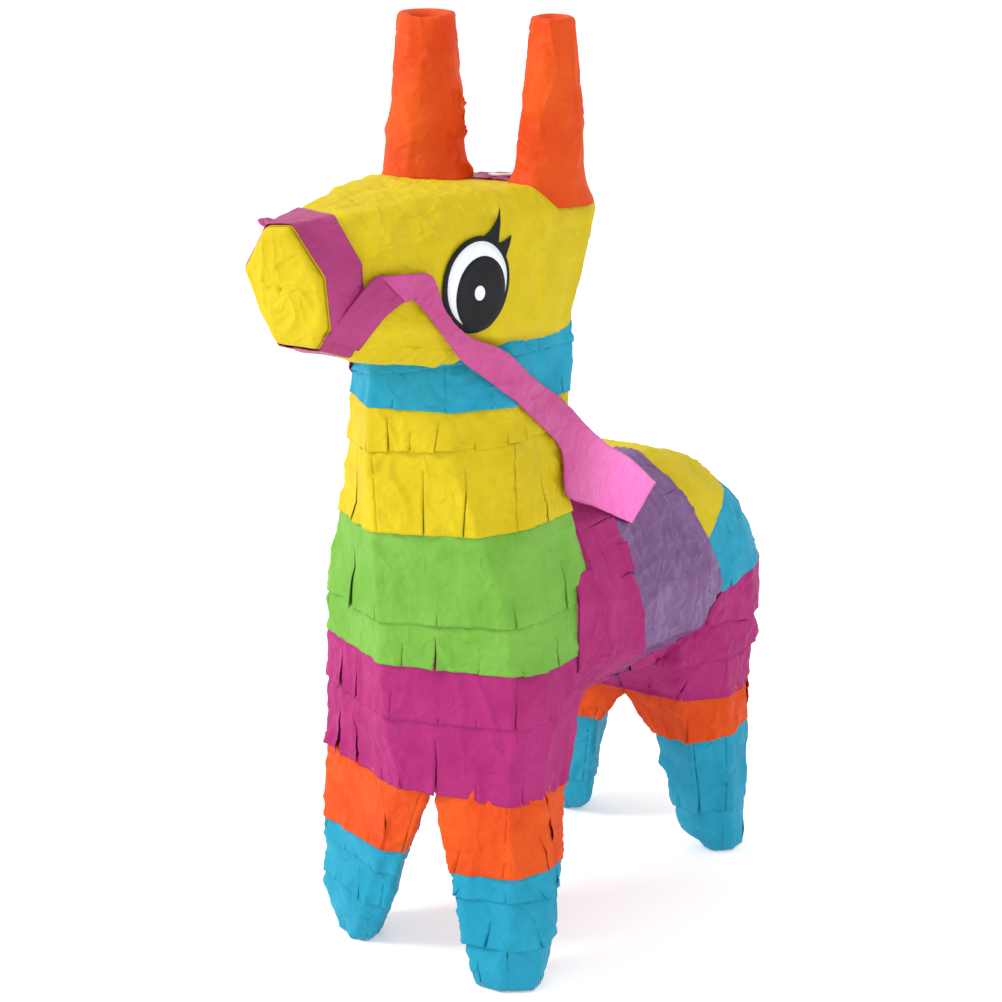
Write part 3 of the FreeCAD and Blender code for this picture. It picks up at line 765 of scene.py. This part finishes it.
# -------- legs
def dress_legs():
    fronts = {
        "front_left": ((18.3, 1.0), [(22.0, 0.1), (17.5, 0.06), (8.5, 0.02)]),
        "front_right": ((-20.8, 0.8), [(23.5, -0.02), (17.0, -0.1), (9.0, -0.1)]),
    }
    rears = {
        "rear_left": ((21.0, 84.0), [(22.0, 0.08, 0.08), (9.0, 0.1)]),
        "rear_right": ((-21.0, 84.0), [(22.0, -0.08, 0.08), (9.0, -0.1)]),
    }
    parts = {
        "front": ["orange", "turquoise_upper", "turquoise_middle", "turquoise_foot"],
        "rear": ["orange", "turquoise", "turquoise_foot"],
    }
    seed = 50
    for name, (axis, cuts) in {**fronts, **rears}.items():
        labels = parts[name.split("_")[0]]
        nodes = [f"leg_{part}_{name}" for part in labels]
        form = Form(nodes, upright(*axis), ends=(0.1, 39.9))
        edges = [level(41.6)] + [level(*cut) for cut in cuts] + [level(0.25)]
        for i, part in enumerate(labels):
            slot = "tissue_orange" if part == "orange" else "tissue_turquoise"
            seed += 1
            lay_strip(
                f"paper_{nodes[i]}", form, slot, edges[i], edges[i + 1], (43.0, 0.2),
                FULL_TURN, seed=seed, under=2.5 if i else 0, tabs=(5, 9), nodes=[nodes[i]],
                proud=0.2, crumple=1.3 if name == "rear_left" else 0.6, crumple_size=7.0,
                flare=0.0 if part == "turquoise_foot" else 0.15,
            )


# -------- head
def dress_head():
    """The yellow wrap, from the rim of the muzzle to the back edge and down to the neck."""
    form = Form(["head_tissue", "muzzle_tissue"], head_barrel)
    columns, rows = 116, 250
    turns = np.linspace(-math.pi, math.pi, rows)
    base = np.zeros((columns, rows, 3))
    outward = np.zeros_like(base)
    for r, turn in enumerate(turns):
        front = form.crossing(turn, present, -43.0, -33.0)
        back = form.crossing(turn, present, 31.0, 5.0)
        base[:, r] = form.line([turn] * columns, np.linspace(front, back, columns))
        outward[:, r] = form.place(turn, 0)[1]
    for _ in range(3):
        ring = np.concatenate([base[:, -2:-1], base, base[:, 1:2]], axis=1)
        base = (ring[:, :-2] + 2 * base + ring[:, 2:]) / 4
    normals = outward_normals(base, outward)
    around = np.linspace(-62, 62, rows)[None] * np.ones((columns, 1))
    along = base[..., 1]
    height = 0.2 + relief(along, around, 71, soft=0.5, pleat=0.3, crumple=0.6,
                          crumple_size=12.0)
    # Flat under the eyes, the muzzle band and the crown ribbon.
    from_eye = np.hypot(base[..., 1] - EYE[0], base[..., 2] - EYE[1])
    height *= np.clip((from_eye - 8) / 6, 0.1, 1)
    height *= np.clip((base[..., 1] + 33) / 4, 0.1, 1)
    from_crown = np.hypot(base[..., 0] - 1.3, base[..., 1] - 21.7) + 3 * (159 - base[..., 2])
    height *= np.clip((from_crown - 9) / 4, 0.15, 1)
    height[:, -1], normals[:, -1] = height[:, 0], normals[:, 0]
    placed = base + normals * height[..., None]
    points = [tuple(point) for point in placed.reshape(-1, 3)]
    faces = [
        face for face in grid_faces(columns, rows)
        if points[face[0]][2] < 150 or (Vector(points[face[0]][:2]) - HANG_HOLE).length > 1.4
    ]
    make_piece("paper_head", points, faces, "tissue_yellow", nodes=["head_tissue"])
    return form, placed


def dress_head_back(rim):
    """The flat back of the head, a panel folded in from the wrap."""
    card = Form(["head_card", "head_tissue"], from_behind)
    shares = np.linspace(0, 1, 30)
    middle = rim.mean(axis=0)
    grid = np.array([rim * (1 - share) + middle * share for share in shares])
    crease = np.maximum(0, relief(grid[..., 0], grid[..., 2], 83, soft=0.5, pleat=0.4))
    for i in range(1, len(shares)):
        for point, fold in zip(grid[i], crease[i]):
            found = card.hit(point[0], point[2])
            if found is not None:
                point[1] = max(point[1], found.y + 0.3) + fold * min(1.0, i / 5)
    grid[:, -1] = grid[:, 0]
    make_sheet("paper_head_back", grid, "tissue_yellow")


def dress_muzzle(rim):
    """The mouth end: the tissue is gathered to a twist near the middle of the face."""
    twist = np.array([-0.6, -40.6, 145.8])
    shares = np.linspace(0, 1, 44)
    turns = np.linspace(-math.pi, math.pi, len(rim))
    grid = np.zeros((len(shares), len(rim), 3))
    for i, share in enumerate(shares):
        swell = 1 + 0.055 * math.sin(math.pi * min(1.0, share * 5))
        grid[i] = twist + (rim - twist) * (1 - share) * swell
        spiral = turns * 2.5 + share * 5.5
        pleats = (1 - np.abs(np.sin(spiral))) ** 2 * math.sin(math.pi * share) ** 2 * 0.35
        dimple = 0.9 * max(0.0, (share - 0.86) / 0.14) ** 2
        dome = 1.3 * min(1.0, share * 7) ** 0.5
        rough = relief(grid[i, :, 0], grid[i, :, 2], 95, soft=0.5, pleat=0.4, crumple=0.4,
                       crumple_size=7.0)
        grid[i, :, 1] += dimple - dome - pleats - 0.7 * rough * min(1.0, share * 5)
    grid[:, -1] = grid[:, 0]
    make_sheet("paper_muzzle", grid, "tissue_yellow", nodes=["muzzle_tissue"])


# -------- ears
def dress_ear(side, axis, seed, cut_aslant, ruffle):
    """A rolled ear: flared at the root, its rim turned in over the card at the open tip."""
    form = Form([f"ear_tissue_{side}"], upright(*axis))
    columns = 110
    tip = 189.4
    turns = np.linspace(0, 2 * math.pi, columns)
    outer_rows = 56
    rim = [(0.0, 0.5), (-0.35, 1.05), (-0.9, 1.2), (-1.5, 1.1), (-2.1, 0.7), (-2.6, 0.0),
           (-2.9, -1.2), (-3.0, -3.0), (-3.0, -6.0), (-3.0, -10.0), (-3.0, -15.0)]
    grid = np.zeros((columns, outer_rows + len(rim), 3))
    for c, turn in enumerate(turns):
        start = form.crossing(turn, present, 150.0, tip - 5)
        for r, up in enumerate(np.linspace(start, tip, outer_rows)):
            grid[c, r] = form.hit(turn, up) or form.hit(turn, start)
        top = grid[c, outer_rows - 1]
        out = np.array([math.cos(turn), math.sin(turn), 0])
        for r, (step_out, step_up) in enumerate(rim):
            grid[c, outer_rows + r] = top + out * step_out + np.array([0, 0, step_up])
    outward = np.zeros_like(grid)
    outward[..., 0] = np.cos(turns)[:, None]
    outward[..., 1] = np.sin(turns)[:, None]
    round_u = np.repeat((turns * 6.5)[:, None], grid.shape[1], axis=1)
    heights = grid[..., 2]
    root = grid[:, :1, 2]
    flare = 1.3 * fall(heights - root, 6.0)
    wrinkles = relief(round_u, heights, seed, soft=0.25, pleat=0.4, crumple=0.35)
    swell = flare + wrinkles
    if ruffle:
        wander = np.angle(np.exp(1j * (turns - math.radians(10))))[:, None]
        lobe = np.exp(-(wander / 0.4) ** 2) * np.clip((179 - heights) / 3, 0, 1)
        lobe *= np.clip((heights - 158) / 4, 0.2, 1)
        folds = 0.6 + 0.9 * ridges(round_u, heights, seed + 5, 1.6, 7) ** 2
        swell += 1.6 * lobe * folds
    inside = np.arange(grid.shape[1]) >= outer_rows + 4
    swell[:, inside] *= 0.2
    swell[-1] = swell[0]
    grid += outward * swell[..., None]
    # The open tip is cut aslant, its front left lowest.
    slant = (1 - np.cos(turns + math.radians(54.5)))[:, None] * cut_aslant / 2
    grid[..., 2] += slant * np.clip((heights - 180) / 9, 0, 1)
    make_sheet(f"paper_ear_{side}", grid, "tissue_orange", nodes=[f"ear_tissue_{side}"])


# -------- ribbons
def smooth_through(points, count):
    """count points on a Catmull-Rom curve through the given ones."""
    knots = [points[0] * 2 - points[1], *points, points[-1] * 2 - points[-2]]
    out = []
    for share in np.linspace(0, len(points) - 1, count):
        i = min(int(share), len(points) - 2)
        t = share - i
        a, b, c, d = knots[i:i + 4]
        out.append(0.5 * (2 * b + (c - a) * t + (2 * a - 5 * b + 4 * c - d) * t ** 2
                          + (3 * b - a - 3 * c + d) * t ** 3))
    return out


def paper_tree():
    """Everything made so far, to lay ribbons on."""
    points, faces = [], []
    for thing in bpy.data.objects:
        if thing.type == "MESH" and thing.name.startswith("paper_"):
            first = len(points)
            points += [vertex.co / MM + MIDDLE for vertex in thing.data.vertices]
            faces += [[first + i for i in face.vertices] for face in thing.data.polygons]
    return BVHTree.FromPolygons(points, faces)


def lay_ribbon(name, stations, sign, tree, seed, clear=0.3, nodes=(), slot="ribbon"):
    """A flat ribbon through pairs of edge points, pressed on to what lies beneath it."""
    side = Vector((sign, 1, 1))
    uppers = [Vector(upper) * side for upper, _, _ in stations]
    lowers = [Vector(lower) * side for _, lower, _ in stations]
    outs = [(Vector(out) * side).normalized() for _, _, out in stations]
    length = sum((b - a).length for a, b in zip(uppers, uppers[1:]))
    columns = max(12, round(length / 0.7))
    across = 15
    edges = zip(*(smooth_through(line, columns) for line in (uppers, lowers, outs)))
    flat = np.zeros((columns, across, 3))
    out = np.zeros_like(flat)
    push = np.zeros((columns, across))
    for c, (upper, lower, away) in enumerate(edges):
        away.normalize()
        for r in range(across):
            point = upper.lerp(lower, r / (across - 1))
            flat[c, r], out[c, r] = point, away
            found = tree.ray_cast(point + away * 5, -away, 8)[0]
            if found is not None:
                push[c, r] = max(0.0, clear - (point - found).dot(away))
    for _ in range(6):
        padded = np.pad(push, 1, mode="edge")
        around = (padded[:-2, 1:-1] + padded[2:, 1:-1] + padded[1:-1, :-2] + padded[1:-1, 2:]) / 4
        push = np.maximum(push, around)
    us = np.repeat(np.linspace(0, length, columns)[:, None], across, axis=1)
    vs = np.repeat(np.linspace(0, 9, across)[None], columns, axis=0)
    push += np.abs(relief(us, vs, seed, soft=0.25, pleat=0.2, crumple=0.25))
    placed = flat + out * push[..., None]
    return make_sheet(name, placed, slot, thick=RIBBON, nodes=nodes)


CHEEK_RUN = [
    ((7.1, -40, 137.2), (8.5, -32, 134.6), (0.78, -0.3, -0.55)),
    ((12.1, -33, 147), (12.8, -29.8, 140.6), (0.96, -0.27, -0.05)),
    ((13, -30.2, 148.3), (14.4, -24.9, 143.5), (0.95, -0.3, -0.03)),
]
STRAP_RUN = [
    ((13.1, -31.1, 147.9), (14.4, -26.0, 142.9), (0.95, -0.3, 0)),
    ((14.9, -25.4, 147.9), (14.9, -24.5, 143.2), (0.95, -0.3, 0)),
    ((16.2, -20.6, 146.9), (15.1, -24.1, 142.6), (0.95, -0.3, 0)),
    ((16.9, -17.5, 140.3), (15.5, -22.6, 141.4), (0.97, -0.2, 0)),
    ((17.8, -12, 135.3), (16.4, -16.5, 134.7), (0.96, -0.3, 0)),
    ((18.6, -1.6, 130.9), (15.7, -10.7, 129.9), (0.93, -0.4, 0)),
    ((18.5, 8.4, 123.9), (16.9, -2.4, 124.2), (0.97, -0.2, 0)),
    ((18.7, 17.4, 118.4), (18.7, 8.1, 116), (1, 0, 0.05)),
    ((19.7, 26.3, 110.8), (18.9, 16.8, 108.3), (1, 0, 0.1)),
    ((19, 33.7, 106.3), (20.2, 17, 99.6), (0.97, 0, 0.25)),
    ((17.6, 44, 101.4), (19.2, 29.1, 94.2), (0.85, 0, 0.5)),
    ((16.4, 57, 93), (20.2, 41.4, 88.1), (0.75, 0, 0.65)),
]


def dress_reins(tree):
    # The right cheek ribbon has a shorter run of its own, so that it stays on the muzzle.
    tighter = [((5.0, -38.6, 139.8), (7.4, -32, 136.4), (0.78, -0.3, -0.55))]
    runs = {"left": CHEEK_RUN, "right": tighter + CHEEK_RUN[1:]}
    for label, sign in (("left", 1), ("right", -1)):
        cheek = lay_ribbon(f"ribbon_cheek_{label}", runs[label], sign, tree, 3,
                           nodes=[f"rein_{label}"])
        strap = lay_ribbon(f"ribbon_rein_{label}", STRAP_RUN, sign, tree, 4, clear=0.5,
                           slot="strap")


def dress_band(form, rim):
    """The ribbon round the muzzle, its cut end tucked over in a small knob on top."""
    rows = 20
    columns = len(rim)
    turns = np.linspace(-math.pi, math.pi, columns)
    grid = np.zeros((columns, rows, 3))
    outward = np.zeros_like(grid)
    for c, turn in enumerate(turns):
        rear = -31.4 - 0.2 * rim[c][0]
        stations = np.linspace(rear, -39.5, rows)
        grid[c] = form.line([turn] * rows, stations)
        outward[c] = form.place(turn, 0)[1]
    normals = outward_normals(grid, outward)
    us = np.repeat(np.linspace(0, 62, columns)[:, None], rows, axis=1)
    vs = np.repeat(np.linspace(0, 10, rows)[None], columns, axis=0)
    height = 0.3 + 0.7 * np.abs(relief(us, vs, 91, soft=0.3, pleat=0.2, crumple=0.2))
    height[-1], normals[-1] = height[0], normals[0]
    placed = grid + normals * height[..., None]
    piece = make_sheet("ribbon_band", placed, "ribbon", thick=RIBBON, nodes=["muzzle_band"])
    rings, around = 14, 26
    knob = []
    for ring in range(rings):
        rise = math.pi * ring / (rings - 1)
        for step in range(around + 1):
            turn = 2 * math.pi * step / around
            way = Vector((math.sin(rise) * math.cos(turn), math.sin(rise) * math.sin(turn),
                          math.cos(rise)))
            size = 1 + 0.35 * noise.noise(way * 1.6)
            knob.append((-5.2 + 2.3 * size * way.x, -38.6 + 1.7 * size * way.y,
                         156.6 + 0.9 * size * way.z - 0.25 * way.x))
    make_piece("ribbon_knob", knob, grid_faces(rings, around + 1), "ribbon", thick=0)


# -------- crown trim
def dress_crown(form):
    columns, rows = 34, 22
    grid = np.zeros((columns, rows, 3))
    for c, across in enumerate(np.linspace(-6.5, 9.0, columns)):
        for r, along in enumerate(np.linspace(17.5, 26.0, rows)):
            turn = math.atan2(across, 14.8)
            point = form.hit(turn, along) or Vector((across, along, 159.9))
            up = max(point.z, 159.5) + 0.55
            up += 0.35 * noise.noise(Vector((c / 6, r / 7, 3.0)))
            grid[c, r] = (across, along, up)
    piece = make_sheet("ribbon_crown", grid, "ribbon", thick=0.2, nodes=["crown_strip"])
    points, rings, around = [], 6, 40
    for ring in range(rings):
        radius = 1.5 + 1.35 * ring / (rings - 1)
        for step in range(around + 1):
            turn = 2 * math.pi * step / around
            lift = 161.05 - 0.12 * ring / rings
            points.append((HANG_HOLE.x + radius * math.cos(turn),
                           HANG_HOLE.y + radius * math.sin(turn), lift))
    make_piece("paper_hanger_patch", points, grid_faces(rings, around + 1), "patch",
               thick=0.3, nodes=["hanger_patch"])


# -------- eyes
def oval(centre, half_wide, half_tall, lean=0.0, count=72):
    """Points of a leaning oval on the sticker's own page."""
    out = []
    for step in range(count):
        turn = 2 * math.pi * step / count
        wide, tall = half_wide * math.cos(turn), half_tall * math.sin(turn)
        out.append((centre[0] + wide + lean * tall, centre[1] + tall))
    return out


def curve(points):
    knots = [Vector((*p, 0)) for p in points]
    return [(p.x, p.y) for p in smooth_through(knots, 9)]


BIG_LASH = (
    curve([(1.4, 8.3), (3.6, 9.5), (5.2, 11.4), (5.9, 13.6)])
    + curve([(6.0, 12.6), (6.1, 10.5), (5.9, 8.6), (5.7, 6.4)])
    + [(3.6, 6.9)]
)
SMALL_LASH = (
    curve([(5.7, 7.0), (6.7, 7.2), (7.8, 7.6), (8.9, 8.3)])
    + curve([(8.7, 7.3), (8.3, 6.2), (7.8, 5.2), (7.4, 4.2)])
    + [(6.2, 5.4)]
)


def sticker_layer(name, outline, sign, slot, rise, nodes=()):
    """One layer of the eye: a printed shape, except the fold, which is painted shade along a
    crease; bulged slightly, lying on the cheek.
    """
    turn = math.radians(10.6)
    centre = Vector((17.25, -9.3, 144.2))
    rear = Vector((math.sin(turn), math.cos(turn), 0))
    outward = Vector((math.cos(turn), -math.sin(turn), 0))
    middle = Vector((sum(p[0] for p in outline), sum(p[1] for p in outline))) / len(outline)
    rings = 7
    points = []
    for ring in range(rings):
        share = ring / (rings - 1)
        for across, up in outline + outline[:1]:
            h = middle.x + (across - middle.x) * (1 - share * 0.999)
            v = middle.y + (up - middle.y) * (1 - share * 0.999)
            bulge = 0.15 * noise.noise(Vector((h / 6, v / 6, 2.2)))
            place = centre + rear * h + Vector((0, 0, v)) + outward * (0.5 + rise + bulge)
            points.append((sign * place.x, place.y, place.z))
    return make_piece(name, points, grid_faces(rings, len(outline) + 1), slot, thick=0.1,
                      nodes=nodes, near=5e-4)


def dress_eye(side, sign):
    layers = [
        ("rim", oval((0, 0), 8.3, 8.8, 0.06), "ink", 0.0),
        ("white", oval((0.2, 0.1), 7.35, 7.75, 0.06), "sticker", 0.06),
        ("pupil", oval((1.0, -1.75), 6.1, 6.85, 0.08), "ink", 0.12),
        ("glint", oval((0.65, -1.55), 1.3, 1.35, 0.0, 32), "sticker", 0.18),
        # The fold layer is painted shade: a dark grey sliver lying where the sticker is creased,
        # not print.
        ("fold", [(-0.6, 4.2), (-0.4, 4.2), (-1.6, -1.5), (-2.6, -6.8), (-2.85, -6.8),
                  (-1.8, -1.5)], "crease", 0.15),
        ("lash_big", BIG_LASH, "ink", 0.03),
        ("lash_small", SMALL_LASH, "ink", 0.03),
    ]
    for part, outline, slot, rise in layers:
        nodes = [f"eye_sticker_{side}"] if part == "rim" else []
        sticker_layer(f"sticker_{part}_{side}", outline, sign, slot, rise, nodes)


# -------- build
def finish_card():
    """The bare card shows inside the body and the ears."""
    for name, thing in frame["nodes"].items():
        if "card" in name:
            thing.data.materials.clear()
            thing.data.materials.append(PAPERS["card"])


make_camera()
make_studio()
finish_card()
dress_neck()
dress_trunk()
dress_legs()
head_form, head_wrap = dress_head()
dress_head_back(head_wrap[-1])
dress_muzzle(head_wrap[0])
dress_ear("left", (13.9, 20.1), 61, cut_aslant=0.8, ruffle=False)
dress_ear("right", (-13.0, 15.8), 64, cut_aslant=1.5, ruffle=True)
dress_band(head_form, head_wrap[0])
dress_reins(paper_tree())
dress_crown(head_form)
dress_eye("left", 1)
dress_eye("right", -1)
